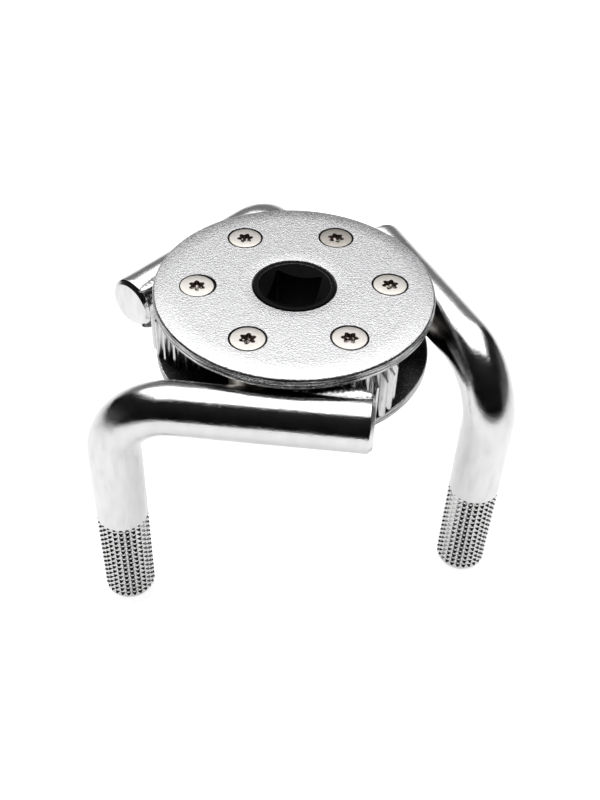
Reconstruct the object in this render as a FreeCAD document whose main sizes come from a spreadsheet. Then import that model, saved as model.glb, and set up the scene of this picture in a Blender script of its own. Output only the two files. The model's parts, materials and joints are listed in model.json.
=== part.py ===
import FreeCAD, Part
import math
import os
import Sketcher
from FreeCAD import Placement, Rotation, Vector

# Oil filter wrench: three round legs, each welded to a gear, turn between two plates when a
# square drive turns the middle gear.  The origin is on the drive axis in the plane of the leg
# tips, +Z is up along the drive axis, and +X points at the first spacer.  Millimetres, degrees.

DIMENSIONS = {
    # plates and the gap between them
    "plate_radius": 37.5,
    "plate_thick": 3.4,
    "plate_rim_round": 0.5,
    "gap_floor": 64.0,
    "gap_height": 15.4,
    "hub_bore_radius": 11.12,
    # pins, spacers and screws stand on one circle, every 60 degrees
    "screw_circle": 25.5,
    "post_radius": 5.0,
    "screw_hole_radius": 2.5,
    # countersunk screws, M5 by 10 with a six-lobe recess
    "screw_head_radius": 4.45,
    "screw_head_rim": 0.2,
    "screw_sink": 0.35,
    "screw_seat_gap": 0.02,
    "screw_shank_radius": 2.45,
    "screw_length": 10.0,
    "recess_radius": 1.6,
    "lobe_radius": 0.5,
    "lobe_circle": 1.7,
    "recess_depth": 1.8,
    # gears
    "gear_module": 1.0,
    "pressure_angle": 20.0,
    "drive_teeth": 27,
    "arm_teeth": 24,
    "gear_backlash": 0.14,
    "gear_addendum": 1.0,
    "gear_dedendum": 1.25,
    "gear_side_gap": 0.2,
    "arm_bore_radius": 5.05,
    # hub of the drive gear
    "hub_radius": 11.05,
    "hub_cone_radius": 9.85,
    "hub_cone_floor": 5.0,
    "hub_cone_slope": 30.0,
    "drive_square": 12.7,
    "drive_square_turn": -15.0,
    # arms: a round bar beside its pivot, bent down into a leg
    "arm_turn": -128.5,
    "second_bar_turn": -4.6,
    "bar_radius": 7.0,
    "bar_level": 71.2,
    "bar_offset": 18.9,
    "bar_behind": 7.9,
    "leg_reach": 57.8,
    "bend_radius": 16.6,
    "bar_end_chamfer": 0.7,
    "leg_tip_chamfer": 1.0,
    # weld beads between bar and gear
    "weld_radius": 1.6,
    "weld_half_length": 8.0,
    "weld_offset": 13.6,
    "weld_rise": 5.5,
    "weld_middle": 1.0,
}

POST_STEP = 60
SPACER_POSTS = (0, 120, 240)

# Post of each arm, and how far its bar is welded round its gear from where the others are.
ARMS = ((60, "0"), (180, "Dims.second_bar_turn"), (300, "0"))

RECESS_LOBES = 6
SAME_POINT = 1e-4

document = FreeCAD.newDocument("oil_filter_wrench")


# ---------------------------------------------------------------- sheet and small helpers

def make_sheet():
    """Put every driving dimension in a cell that has the dimension's name as its alias."""
    sheet = document.addObject("Spreadsheet::Sheet", "Dims")
    for row, (name, value) in enumerate(DIMENSIONS.items(), start=1):
        sheet.set(f"A{row}", name)
        sheet.set(f"B{row}", str(value))
        sheet.setAlias(f"B{row}", name)
    document.recompute()
    return sheet


def value_of(expression):
    """Present value of an expression, as a plain number."""
    result = sheet.evalExpression(expression)
    return getattr(result, "Value", result)


def new_body(label):
    body = document.addObject("PartDesign::Body", label)
    body.Label = label
    return body


def origin_feature(body, role):
    for feature in body.Origin.OriginFeatures:
        if feature.Role == role:
            return feature
    raise ValueError(role)


def new_sketch(body, name, role="XY_Plane", height="0", turn="0"):
    """Sketch parallel to an origin plane of its body, moved by height and turned by turn."""
    sketch = body.newObject("Sketcher::SketchObject", f"{body.Label}_{name}")
    sketch.AttachmentSupport = [(origin_feature(body, role), "")]
    sketch.MapMode = "FlatFace"
    sketch.AttachmentOffset = Placement(Vector(0, 0, 0), Rotation(Vector(0, 0, 1), 0))
    sketch.setExpression("AttachmentOffset.Base.z", height)
    sketch.setExpression("AttachmentOffset.Rotation.Angle", turn)
    return sketch


def bind(sketch, constraint, expression):
    index = sketch.addConstraint(constraint)
    sketch.setExpression(f"Constraints[{index}]", expression)


def place_point(sketch, geometry, point, across, up):
    """Hold one point of a sketch at two expressions."""
    x_value = value_of(across)
    y_value = value_of(up)
    bind(sketch, Sketcher.Constraint("DistanceX", -1, 1, geometry, point, x_value), across)
    bind(sketch, Sketcher.Constraint("DistanceY", -1, 1, geometry, point, y_value), up)


def sketch_point(corner):
    """Point of a sketch from a pair of expressions."""
    across, up = corner
    return Vector(value_of(across), value_of(up), 0)


def add_line(sketch, start, end):
    """Line with both ends held at pairs of expressions."""
    line = sketch.addGeometry(Part.LineSegment(sketch_point(start), sketch_point(end)), False)
    place_point(sketch, line, 1, *start)
    place_point(sketch, line, 2, *end)
    return line


def add_circle(sketch, radius, across="0", up="0"):
    centre = sketch_point((across, up))
    circle = sketch.addGeometry(Part.Circle(centre, Vector(0, 0, 1), value_of(radius)), False)
    bind(sketch, Sketcher.Constraint("Radius", circle, value_of(radius)), radius)
    place_point(sketch, circle, 3, across, up)


def add_outline(sketch, corners):
    """Closed outline of straight lines through corners, each a pair of expressions."""
    points = [sketch_point(corner) for corner in corners]
    lines = []
    for start, end in zip(points, points[1:] + points[:1]):
        lines.append(sketch.addGeometry(Part.LineSegment(start, end), False))
    for line, following in zip(lines, lines[1:] + lines[:1]):
        sketch.addConstraint(Sketcher.Constraint("Coincident", line, 2, following, 1))
    for line, (across, up) in zip(lines, corners):
        place_point(sketch, line, 1, across, up)


def pad(body, sketch, length):
    feature = body.newObject("PartDesign::Pad", f"{sketch.Name}_pad")
    feature.Profile = sketch
    feature.setExpression("Length", length)
    return feature


def pocket_through(body, sketch):
    feature = body.newObject("PartDesign::Pocket", f"{sketch.Name}_pocket")
    feature.Profile = sketch
    feature.SideType = "Symmetric"
    feature.Type = "ThroughAll"
    return feature


def pocket_down(body, sketch, length):
    feature = body.newObject("PartDesign::Pocket", f"{sketch.Name}_pocket")
    feature.Profile = sketch
    feature.setExpression("Length", length)
    return feature


def turned(body, sketch, kind="PartDesign::Revolution"):
    """Full turn of a sketch about the body's Z axis."""
    feature = body.newObject(kind, f"{sketch.Name}_turn")
    feature.Profile = sketch
    feature.ReferenceAxis = (origin_feature(body, "Z_Axis"), [""])
    feature.Angle = 360
    return feature


def polar_copies(body, features, count):
    """Copy features evenly round the body's Z axis."""
    pattern = body.newObject("PartDesign::PolarPattern", f"{features[0].Name}_ring")
    pattern.Originals = features
    pattern.Axis = (origin_feature(body, "Z_Axis"), [""])
    pattern.Angle = 360
    pattern.setExpression("Occurrences", count)
    body.Tip = pattern
    return pattern


def lay_on_base(primitive, body):
    primitive.AttachmentSupport = [(origin_feature(body, "XY_Plane"), "")]
    primitive.MapMode = "FlatFace"


def chamfer(body, base, edges, size):
    feature = body.newObject("PartDesign::Chamfer", f"{base.Name}_chamfer")
    feature.Base = (base, edges)
    feature.setExpression("Size", size)
    return feature


def circular_edges(shape, radius, test):
    """Names of the full circles of a radius whose centre passes a test."""
    names = []
    for number, edge in enumerate(shape.Edges, start=1):
        curve = edge.Curve
        if curve.TypeId == "Part::GeomCircle" and abs(curve.Radius - radius) < SAME_POINT:
            if len(edge.Vertexes) == 1 and test(curve.Center):
                names.append(f"Edge{number}")
    return names


def place(part, across="0", along="0", up="0", turn="0", upside_down=False):
    """Bind a sub-part's Placement: its position, and either a turn about Z or upside down."""
    if upside_down:
        part.Placement = Placement(Vector(0, 0, 0), Rotation(Vector(1, 0, 0), 180))
    else:
        part.Placement = Placement(Vector(0, 0, 0), Rotation(Vector(0, 0, 1), 0))
        part.setExpression("Placement.Rotation.Angle", turn)
    part.setExpression("Placement.Base.x", across)
    part.setExpression("Placement.Base.y", along)
    part.setExpression("Placement.Base.z", up)


def post_point(post_angle):
    """Expressions for the place of a post on the screw circle."""
    return (f"Dims.screw_circle * cos({post_angle} deg)",
            f"Dims.screw_circle * sin({post_angle} deg)")


# ---------------------------------------------------------------- plates

GAP_TOP = "(Dims.gap_floor + Dims.gap_height)"
TOP_FACE = "(Dims.gap_floor + Dims.gap_height + Dims.plate_thick)"
BOTTOM_FACE = "(Dims.gap_floor - Dims.plate_thick)"

# A countersink has the slope of the screw head's cone and clears it by the seat gap.
SINK_RADIUS = ("(Dims.screw_head_radius + Dims.screw_sink + Dims.screw_head_rim"
               " + Dims.screw_seat_gap)")
SINK_DEPTH = f"({SINK_RADIUS} - Dims.screw_hole_radius)"


def make_plate(label, outer_face_up):
    """Round plate with a hub bore and six countersunk holes, modelled with its outer face up."""
    body = new_body(label)
    disc = new_sketch(body, "disc")
    add_circle(disc, "Dims.plate_radius")
    blank = pad(body, disc, "Dims.plate_thick")
    document.recompute()
    rim = circular_edges(blank.Shape, value_of("Dims.plate_radius"), lambda centre: True)
    rounded = body.newObject("PartDesign::Fillet", f"{label}_rim")
    rounded.Base = (blank, rim)
    rounded.setExpression("Radius", "Dims.plate_rim_round")

    bore = new_sketch(body, "bore")
    add_circle(bore, "Dims.hub_bore_radius")
    pocket_through(body, bore)

    sink = body.newObject("PartDesign::SubtractiveCone", f"{label}_sink")
    lay_on_base(sink, body)
    sink.setExpression("Radius1", "Dims.screw_hole_radius")
    sink.setExpression("Radius2", SINK_RADIUS)
    sink.setExpression("Height", SINK_DEPTH)
    sink.setExpression("AttachmentOffset.Base.x", "Dims.screw_circle")
    sink.setExpression("AttachmentOffset.Base.z", f"Dims.plate_thick - {SINK_DEPTH}")
    neck = new_sketch(body, "neck")
    add_circle(neck, "Dims.screw_hole_radius", "Dims.screw_circle")
    hole = pocket_through(body, neck)
    polar_copies(body, [sink, hole], str(360 // POST_STEP))

    if outer_face_up:
        place(body, up=GAP_TOP)
    else:
        place(body, up="Dims.gap_floor", upside_down=True)
    return body


# ---------------------------------------------------------------- posts and screws

def make_post(label, post_angle):
    """Round post between the plates, drilled right through: a spacer, or an arm's pivot pin."""
    body = new_body(label)
    section = new_sketch(body, "section")
    add_circle(section, "Dims.post_radius")
    add_circle(section, "Dims.screw_hole_radius")
    pad(body, section, "Dims.gap_height")
    place(body, *post_point(post_angle), "Dims.gap_floor")
    return body


def make_screw(label, post_angle, head_up):
    """Countersunk screw with a six-lobe recess, modelled with its head's face at z = 0."""
    body = new_body(label)
    half = new_sketch(body, "half", "XZ_Plane")
    cone_end = ("-(Dims.screw_head_rim + Dims.screw_head_radius - Dims.screw_shank_radius)")
    add_outline(half, [
        ("0", "0"),
        ("Dims.screw_head_radius", "0"),
        ("Dims.screw_head_radius", "-Dims.screw_head_rim"),
        ("Dims.screw_shank_radius", cone_end),
        ("Dims.screw_shank_radius", "-Dims.screw_length"),
        ("0", "-Dims.screw_length"),
    ])
    turned(body, half)
    middle = new_sketch(body, "middle")
    add_circle(middle, "Dims.recess_radius")
    pocket_down(body, middle, "Dims.recess_depth")
    lobe = new_sketch(body, "lobe")
    add_circle(lobe, "Dims.lobe_radius", "Dims.lobe_circle")
    polar_copies(body, [pocket_down(body, lobe, "Dims.recess_depth")], str(RECESS_LOBES))
    if head_up:
        place(body, *post_point(post_angle), f"{TOP_FACE} - Dims.screw_sink")
    else:
        place(body, *post_point(post_angle), f"{BOTTOM_FACE} + Dims.screw_sink",
              upside_down=True)
    return body


# ---------------------------------------------------------------- gears

GEAR_FLOOR = "(Dims.gap_floor + Dims.gear_side_gap)"
GEAR_WIDTH = "(Dims.gap_height - 2 * Dims.gear_side_gap)"


def pitch_radius(teeth):
    return f"(Dims.gear_module * {teeth} / 2)"


def tip_radius(teeth):
    return f"({pitch_radius(teeth)} + Dims.gear_module * Dims.gear_addendum)"


def involute_angle(pressure):
    """Expression for the involute function of a pressure angle, as an angle."""
    return f"(tan({pressure}) * 180 deg / pi - {pressure})"


def gap_half_angle(teeth, radius):
    """Expression for half the angle of a tooth gap at a radius on the involute flank."""
    base = f"{pitch_radius(teeth)} * cos(Dims.pressure_angle * 1 deg)"
    at_radius = involute_angle(f"acos(min(1; {base} / ({radius})))")
    at_pitch = involute_angle("(Dims.pressure_angle * 1 deg)")
    play = f"Dims.gear_backlash / 4 / {pitch_radius(teeth)} * 180 deg / pi"
    return f"(90 deg / {teeth} + {play} + {at_radius} - {at_pitch})"


def add_tooth_gap(sketch, teeth):
    """Outline of one tooth gap, centred on the sketch's X axis, from the root past the tip."""
    pitch = pitch_radius(teeth)
    root = f"({pitch} - Dims.gear_module * Dims.gear_dedendum)"
    base = f"({pitch} * cos(Dims.pressure_angle * 1 deg))"
    tip = tip_radius(teeth)
    stations = [root, base, f"(({base} + {pitch}) / 2)", pitch,
                f"(({pitch} + {tip}) / 2)", tip, f"({tip} + Dims.gear_module / 4)"]
    lower = []
    upper = []
    for radius in stations:
        half = gap_half_angle(teeth, radius)
        lower.append((f"{radius} * cos({half})", f"-{radius} * sin({half})"))
        upper.append((f"{radius} * cos({half})", f"{radius} * sin({half})"))
    add_outline(sketch, lower + upper[::-1])


def cut_teeth(body, teeth, first_gap):
    gap = new_sketch(body, "gap", turn=first_gap)
    add_tooth_gap(gap, teeth)
    polar_copies(body, [pocket_through(body, gap)], teeth)


def make_drive_gear():
    """Middle gear with a hub through both plates and a square drive hole right through."""
    body = new_body("drive_gear")
    disc = new_sketch(body, "disc", height=GEAR_FLOOR)
    add_circle(disc, tip_radius("Dims.drive_teeth"))
    pad(body, disc, GEAR_WIDTH)
    first_post, _ = ARMS[0]
    cut_teeth(body, "Dims.drive_teeth", f"{first_post} deg")
    hub = new_sketch(body, "hub", height=BOTTOM_FACE)
    add_circle(hub, "Dims.hub_radius")
    pad(body, hub, f"{TOP_FACE} - {BOTTOM_FACE}")

    cone_depth = ("((Dims.hub_cone_radius - Dims.hub_cone_floor)"
                  " * tan(Dims.hub_cone_slope * 1 deg))")
    lead_ins = (
        ("upper", "Dims.hub_cone_floor", "Dims.hub_cone_radius", f"{TOP_FACE} - {cone_depth}"),
        ("lower", "Dims.hub_cone_radius", "Dims.hub_cone_floor", BOTTOM_FACE),
    )
    for name, low_radius, high_radius, level in lead_ins:
        cone = body.newObject("PartDesign::SubtractiveCone", f"drive_gear_{name}_lead_in")
        lay_on_base(cone, body)
        cone.setExpression("Radius1", low_radius)
        cone.setExpression("Radius2", high_radius)
        cone.setExpression("Height", cone_depth)
        cone.setExpression("AttachmentOffset.Base.z", level)

    square = new_sketch(body, "square", turn="Dims.drive_square_turn * 1 deg")
    half = "Dims.drive_square / 2"
    add_outline(square, [(half, half), (f"-{half}", half), (f"-{half}", f"-{half}"),
                         (half, f"-{half}")])
    pocket_through(body, square)
    place(body)
    return body


# ---------------------------------------------------------------- arms
#
# An arm is modelled with its pivot on the Z axis.  Its bar runs along +X, beside the pivot at
# y = bar_offset, and bends down into the leg at x = leg_reach.

def arm_heading(post_angle, extra_turn):
    """Expression for the direction in which an arm's bar runs."""
    return f"({post_angle} deg + (Dims.arm_turn + {extra_turn}) * 1 deg)"


def make_arm_gear(label, post_angle, extra_turn):
    """Gear of an arm, with a round seat along one side for the bar that is welded to it."""
    body = new_body(label)
    disc = new_sketch(body, "disc", height=GEAR_FLOOR)
    add_circle(disc, tip_radius("Dims.arm_teeth"))
    add_circle(disc, "Dims.arm_bore_radius")
    pad(body, disc, GEAR_WIDTH)
    # a tooth points at the drive axis, so the first gap is half a tooth pitch further round
    cut_teeth(body, "Dims.arm_teeth",
              f"180 deg / Dims.arm_teeth + 180 deg - (Dims.arm_turn + {extra_turn}) * 1 deg")
    seat = new_sketch(body, "seat", "YZ_Plane")
    add_circle(seat, "Dims.bar_radius", "Dims.bar_offset", "Dims.bar_level")
    pocket_through(body, seat)
    place(body, *post_point(post_angle), turn=arm_heading(post_angle, extra_turn))
    return body


def make_arm_bar(label, post_angle, extra_turn):
    """Round bar with a blunt end beside the pivot and a leg that points down."""
    body = new_body(label)
    section = new_sketch(body, "section", "YZ_Plane", height="-Dims.bar_behind")
    add_circle(section, "Dims.bar_radius", "Dims.bar_offset", "Dims.bar_level")

    path = new_sketch(body, "path", "XZ_Plane", height="-Dims.bar_offset")
    bend_start = ("Dims.leg_reach - Dims.bend_radius", "Dims.bar_level")
    bend_end = ("Dims.leg_reach", "Dims.bar_level - Dims.bend_radius")
    bend_centre = ("Dims.leg_reach - Dims.bend_radius", "Dims.bar_level - Dims.bend_radius")
    bar = add_line(path, ("-Dims.bar_behind", "Dims.bar_level"), bend_start)
    leg = add_line(path, bend_end, ("Dims.leg_reach", "0"))
    circle = Part.Circle(sketch_point(bend_centre), Vector(0, 0, 1), value_of("Dims.bend_radius"))
    bend = path.addGeometry(Part.ArcOfCircle(circle, 0, math.pi / 2), False)
    path.addConstraint(Sketcher.Constraint("Coincident", bend, 2, bar, 2))
    path.addConstraint(Sketcher.Constraint("Coincident", bend, 1, leg, 1))
    bind(path, Sketcher.Constraint("Radius", bend, value_of("Dims.bend_radius")),
         "Dims.bend_radius")

    pipe = body.newObject("PartDesign::AdditivePipe", f"{label}_pipe")
    pipe.Profile = section
    pipe.Spine = (path, ["Edge1", "Edge2", "Edge3"])
    document.recompute()
    radius = value_of("Dims.bar_radius")
    tip = chamfer(body, pipe, circular_edges(pipe.Shape, radius, is_leg_tip),
                  "Dims.leg_tip_chamfer")
    document.recompute()
    chamfer(body, tip, circular_edges(tip.Shape, radius, is_blunt_end), "Dims.bar_end_chamfer")
    place(body, *post_point(post_angle), turn=arm_heading(post_angle, extra_turn))
    return body


def is_leg_tip(centre):
    return abs(centre.z) < SAME_POINT


def is_blunt_end(centre):
    return abs(centre.x + value_of("Dims.bar_behind")) < SAME_POINT


def make_arm_weld(label, post_angle, extra_turn, bar, gear):
    """Two spindle-shaped beads in the crooks between bar and gear, above and below the bar."""
    turn = arm_heading(post_angle, extra_turn)
    post_across, post_along = post_point(post_angle)
    across = f"{post_across} + Dims.weld_middle * cos{turn} - Dims.weld_offset * sin{turn}"
    along = f"{post_along} + Dims.weld_middle * sin{turn} + Dims.weld_offset * cos{turn}"
    beads = []
    for name, side in (("upper", "+"), ("lower", "-")):
        bead = document.addObject("Part::Ellipsoid", f"{label}_{name}")
        bead.setExpression("Radius1", "Dims.weld_radius")
        bead.setExpression("Radius2", "Dims.weld_half_length")
        bead.setExpression("Radius3", "Dims.weld_radius")
        place(bead, across, along, f"Dims.bar_level {side} Dims.weld_rise", turn)
        beads.append(bead)
    metal = document.addObject("Part::MultiFuse", f"{label}_beads")
    metal.Shapes = beads
    joined = document.addObject("Part::MultiFuse", f"{label}_joined")
    joined.Shapes = [bar, gear]
    weld = document.addObject("Part::Cut", label)
    weld.Label = label
    weld.Base = metal
    weld.Tool = joined
    return weld


# ---------------------------------------------------------------- whole tool

def make_all():
    """Every sub-part of the tool, in the order in which it would be put together."""
    parts = [make_plate("bottom_plate", outer_face_up=False), make_drive_gear()]
    for number, post_angle in enumerate(SPACER_POSTS, start=1):
        parts.append(make_post(f"spacer_{number}", post_angle))
    for number, (post_angle, extra_turn) in enumerate(ARMS, start=1):
        bar = make_arm_bar(f"arm_{number}_bar", post_angle, extra_turn)
        gear = make_arm_gear(f"arm_{number}_gear", post_angle, extra_turn)
        weld = make_arm_weld(f"arm_{number}_weld", post_angle, extra_turn, bar, gear)
        parts.append(make_post(f"pivot_pin_{number}", post_angle))
        parts += [bar, gear, weld]
    parts.append(make_plate("top_plate", outer_face_up=True))
    for number in range(360 // POST_STEP):
        post_angle = number * POST_STEP
        parts.append(make_screw(f"top_screw_{number + 1}", post_angle, head_up=True))
        parts.append(make_screw(f"bottom_screw_{number + 1}", post_angle, head_up=False))
    return parts


def check(parts):
    """Stop if any object failed to build or any sub-part has no sound solid."""
    for item in document.Objects:
        if "Invalid" in item.State or "Error" in item.State:
            raise RuntimeError(f"{item.Label} failed: {item.State}")
    for part in parts:
        if part.Shape.isNull() or not part.Shape.isValid() or not part.Shape.Solids:
            raise RuntimeError(f"{part.Label} has no valid solid")


def export(parts):
    os.makedirs("parts", exist_ok=True)
    for part in parts:
        part.Shape.exportStep(f"parts/{part.Label}.step")
        print(f"{part.Label}: {len(part.Shape.Solids)} solid, {part.Shape.Volume:.1f} mm3")


sheet = make_sheet()
sub_parts = make_all()
document.recompute()
check(sub_parts)
export(sub_parts)
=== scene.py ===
import json
import math

import bmesh
import bpy
from mathutils import Matrix, Vector, noise


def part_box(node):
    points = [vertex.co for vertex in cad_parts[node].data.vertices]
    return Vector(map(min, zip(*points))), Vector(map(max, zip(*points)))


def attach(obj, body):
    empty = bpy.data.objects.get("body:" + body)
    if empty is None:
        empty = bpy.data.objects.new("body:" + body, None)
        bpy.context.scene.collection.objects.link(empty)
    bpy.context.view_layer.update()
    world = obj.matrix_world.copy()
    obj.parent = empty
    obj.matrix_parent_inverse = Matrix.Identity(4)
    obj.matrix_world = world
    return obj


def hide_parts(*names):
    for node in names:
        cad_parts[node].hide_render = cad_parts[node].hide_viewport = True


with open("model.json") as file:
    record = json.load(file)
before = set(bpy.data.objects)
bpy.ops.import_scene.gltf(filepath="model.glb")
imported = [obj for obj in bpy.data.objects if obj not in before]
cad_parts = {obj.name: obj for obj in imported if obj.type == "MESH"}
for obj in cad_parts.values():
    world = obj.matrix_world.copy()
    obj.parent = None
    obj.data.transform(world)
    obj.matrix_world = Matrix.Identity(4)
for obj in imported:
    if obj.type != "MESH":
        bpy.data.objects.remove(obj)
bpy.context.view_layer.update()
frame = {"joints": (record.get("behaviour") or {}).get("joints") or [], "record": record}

# Looks of the oil filter wrench.  Every CAD node is replaced by a finer mesh that stays in the
# CAD model's box, built around the axes that the frame gives.  Lengths are in metres and angles
# in radians, unless a name ends in _MM or _deg.

MM = 0.001

# Arms, in their own frame: pivot on the Z axis, bar along +X at y = BAR_OFFSET
BAR_RADIUS = 7 * MM
BAR_OFFSET = 18.9 * MM
BAR_BEHIND = 7.9 * MM
BEND_RADIUS = 16.6 * MM
BAR_SIDE = Vector((0, 1, 0))
BAR_STEP = 1.4 * MM
BEND_STEP = 0.8 * MM
BEND_FLATTENING = 0.22 * MM
WANDER_DEPTH = 0.09 * MM
WANDER_FADE = 6 * MM
WANDER_SLOW_SIZE = 9 * MM
WANDER_QUICK_SIZE = 3.5 * MM
WANDER_SLOW_SHARE = 0.38
WANDER_QUICK_SHARE = 0.12
# the blunt end's chamfer, and the shares of it along the bar and in from its side that give
# the chamfer soft edges
BAR_END_CHAMFER = 1.2 * MM
CHAMFER_SHARES = ((0, 1), (0.02, 0.90), (0.12, 0.78), (0.78, 0.12), (0.90, 0.02))

# Knurl: a grid of points with small flats, between narrow flat-bottomed grooves.  The height
# turns at four places in each cell, and groove and flat are shares of the cell.
KNURL_TOP = 30.3 * MM
KNURL_FOOT = 0.35 * MM
KNURL_DEPTH = 0.68 * MM
KNURL_COLUMNS = 24
KNURL_ROWS = 16
KNURL_GROOVE = 0.09
KNURL_FLAT = 0.25
KNURL_TURNS = 4

# Gears
GEAR_MODULE = 1.0 * MM
PRESSURE_ANGLE = math.radians(20)
GEAR_BACKLASH = 0.14 * MM
GEAR_DEDENDUM = 1.25 * GEAR_MODULE
DRIVE_TEETH = 27
ARM_TEETH = 24
ARM_BORE_RADIUS = 5.05 * MM
GEAR_CHAMFER = 0.35 * MM
TOOTH_TOP_DEPTH = 2.1 * MM
TOOTH_TOP_HEIGHT = 3.3 * MM
SEAT_CUT_REACH = 20 * MM

# Drive gear's hub; the worn ring is the strip of faces beside the cone's outer edge
HUB_RADIUS = 11.05 * MM
HUB_CONE_RADIUS = 9.85 * MM
HUB_EDGE = 0.25 * MM
HUB_WORN_EDGE = 0.16 * MM
WORN_RING = 2
HUB_CONE_SLOPE = math.radians(30)
DRIVE_SQUARE = 12.7 * MM
DRIVE_SQUARE_TURN = math.radians(-15)
SQUARE_CORNER = 0.7 * MM
SQUARE_WALL_DEPTH = 4 * MM

# Plates and what holds them together
PLATE_BORE_RADIUS = 11.12 * MM
BORE_DISH_WIDTH = 3.6 * MM
BORE_DISH_DEPTH = 0.13 * MM
RIM_DROOP_WIDTH = 5.6 * MM
RIM_DROOP_DEPTH = 0.42 * MM
RIM_ROLL = 0.9 * MM
RIM_FOOT = 0.3 * MM
# fine lines round the rim: share of the thickness below the outer face, and depth
RIM_LINES = ((0.40, 0.07 * MM), (0.56, 0.05 * MM), (0.70, 0.08 * MM))
RIM_LINE_HALF_WIDTH = 0.12 * MM
BORE_EDGE = 0.25 * MM
PLATE_POINTS = 288
DROOP_STEPS = 9
ROLL_STEPS = 6
FOOT_STEPS = 3
DISH_STEPS = 8
ROUND_POINTS = 96
SINK_RADIUS = 4.98 * MM
SINK_CUT_MARGIN = 1 * MM
SINK_CUT_DEPTH = 6 * MM
SCREW_HOLE_RADIUS = 2.5 * MM
POST_RADIUS = 5.0 * MM
POST_CHAMFER = 0.3 * MM
SCREW_HEAD_RADIUS = 4.55 * MM
SCREW_HEAD_RIM = 0.2 * MM
SCREW_SHANK_RADIUS = 2.45 * MM
SCREW_LENGTH = 10 * MM
RECESS_DEPTH = 1.3 * MM
RECESS_VALLEY = 1.5 * MM
RECESS_LOBE = 0.7 * MM
RECESS_LOBES = 6
RECESS_LOBE_SHARPNESS = 0.85
RECESS_TAPER = 0.30 * MM
RECESS_MOUTH_DEPTH = 0.12 * MM
RECESS_MOUTH_FLARE = 0.1 * MM
RECESS_POINT_RADIUS = 0.4 * MM
RECESS_POINT_DEPTH = 0.5 * MM
SCREW_COUNT = 6
SCREW_POINTS = 144
SCREW_TIP_CHAMFER = 0.4 * MM
# how far the recess of each screw, 1 to 6, is turned, in both plates
SCREW_CLOCKING_deg = (12, 41, 8, 33, 20, 52)
SCREW_RISE = 0.33 * MM
# round edge of a head: shares of its size in from the side and down from the face
SCREW_EDGE = 0.26 * MM
SCREW_EDGE_SHARES = ((1, 0), (0.6, 0.08), (0.3, 0.3), (0.08, 0.6), (0, 1))
# top screws that look different: one has duller metal and one sits askew
WORN_SCREW = 2
LOOSE_SCREW = 4
LOOSE_SCREW_RISE = 0.18 * MM
LOOSE_SCREW_TILT = math.radians(2.0)
LOOSE_SCREW_AXIS = Vector((0.5, 0.85, 0))
LOOSE_SCREW_SHIFT = Vector((-0.25, 0.17, 0)) * MM


# ---------------------------------------------------------------- mesh helpers

def new_object(name, mesh):
    made = bpy.data.objects.new(name, mesh)
    bpy.context.scene.collection.objects.link(made)
    return made


def skin(name, rings, joined=False):
    """Quads over rings with one number of points; the ends are capped, or joined to each other."""
    count = len(rings[0])
    points = [point for ring in rings for point in ring]
    faces = []
    for index in range(len(rings) if joined else len(rings) - 1):
        first = index * count
        second = (index + 1) % len(rings) * count
        for here in range(count):
            ahead = (here + 1) % count
            faces.append((first + here, first + ahead, second + ahead, second + here))
    if not joined:
        faces.append(tuple(range(count)))
        faces.append(tuple(range(len(points) - count, len(points))))
    mesh = bpy.data.meshes.new(name)
    mesh.from_pydata(points, [], faces)
    turn_outward(mesh)
    return new_object(name, mesh)


def turn_outward(mesh):
    work = bmesh.new()
    work.from_mesh(mesh)
    bmesh.ops.recalc_face_normals(work, faces=work.faces)
    work.to_mesh(mesh)
    work.free()


def smooth_between_edges(piece, sharp_deg=30):
    """Smooth shading that keeps the edges where faces meet at more than an angle."""
    for face in piece.data.polygons:
        face.use_smooth = True
    piece.data.set_sharp_from_angle(angle=math.radians(sharp_deg))


def at_angle(radius, angle, level):
    """Point at an angle round the Z axis."""
    return Vector((radius * math.cos(angle), radius * math.sin(angle), level))


def circle(radius, level, count, centre=(0, 0)):
    """Ring of points on a horizontal circle."""
    points = []
    for index in range(count):
        angle = math.tau * index / count
        points.append(Vector((centre[0] + radius * math.cos(angle),
                              centre[1] + radius * math.sin(angle), level)))
    return points


def lathe(profile, count, centre=(0, 0)):
    """Rings for a turned shape from a profile of (radius, level) pairs."""
    return [circle(radius, level, count, centre) for radius, level in profile]


def cut_away(piece, cutter):
    """Take a cutter's volume out of a piece, and remove the cutter."""
    tool = piece.modifiers.new("cut", "BOOLEAN")
    tool.operation = "DIFFERENCE"
    tool.solver = "EXACT"
    tool.object = cutter
    graph = bpy.context.evaluated_depsgraph_get()
    mesh = bpy.data.meshes.new_from_object(piece.evaluated_get(graph))
    piece.modifiers.clear()
    piece.data = mesh
    bpy.data.objects.remove(cutter)


def finish_piece(piece, node, material, body, sharp_deg=30):
    """Give a piece its shading, material and body, and hide the CAD node that it stands for."""
    smooth_between_edges(piece, sharp_deg)
    if not piece.data.materials:
        piece.data.materials.append(material)
    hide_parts(node)
    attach(piece, body)
    return piece


BODY_OF_NODE = {
    node: body
    for body, nodes in frame["record"]["behaviour"]["bodies"].items()
    for node in nodes
}


def centre_of(node):
    low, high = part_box(node)
    return (low + high) / 2


# ---------------------------------------------------------------- materials

def set_inputs(tree, node, inputs):
    """Set a node's inputs, each to a value or to another node's socket."""
    for name, value in inputs.items():
        if isinstance(value, bpy.types.NodeSocket):
            tree.links.new(value, node.inputs[name])
        else:
            node.inputs[name].default_value = value


def add_node(tree, kind, inputs, **settings):
    """Shader node with its settings and inputs."""
    made = tree.nodes.new(kind)
    for name, value in settings.items():
        setattr(made, name, value)
    set_inputs(tree, made, inputs)
    return made


def object_place(tree):
    """Place on the piece's own coordinates."""
    return tree.nodes.new("ShaderNodeTexCoord").outputs["Object"]


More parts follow.
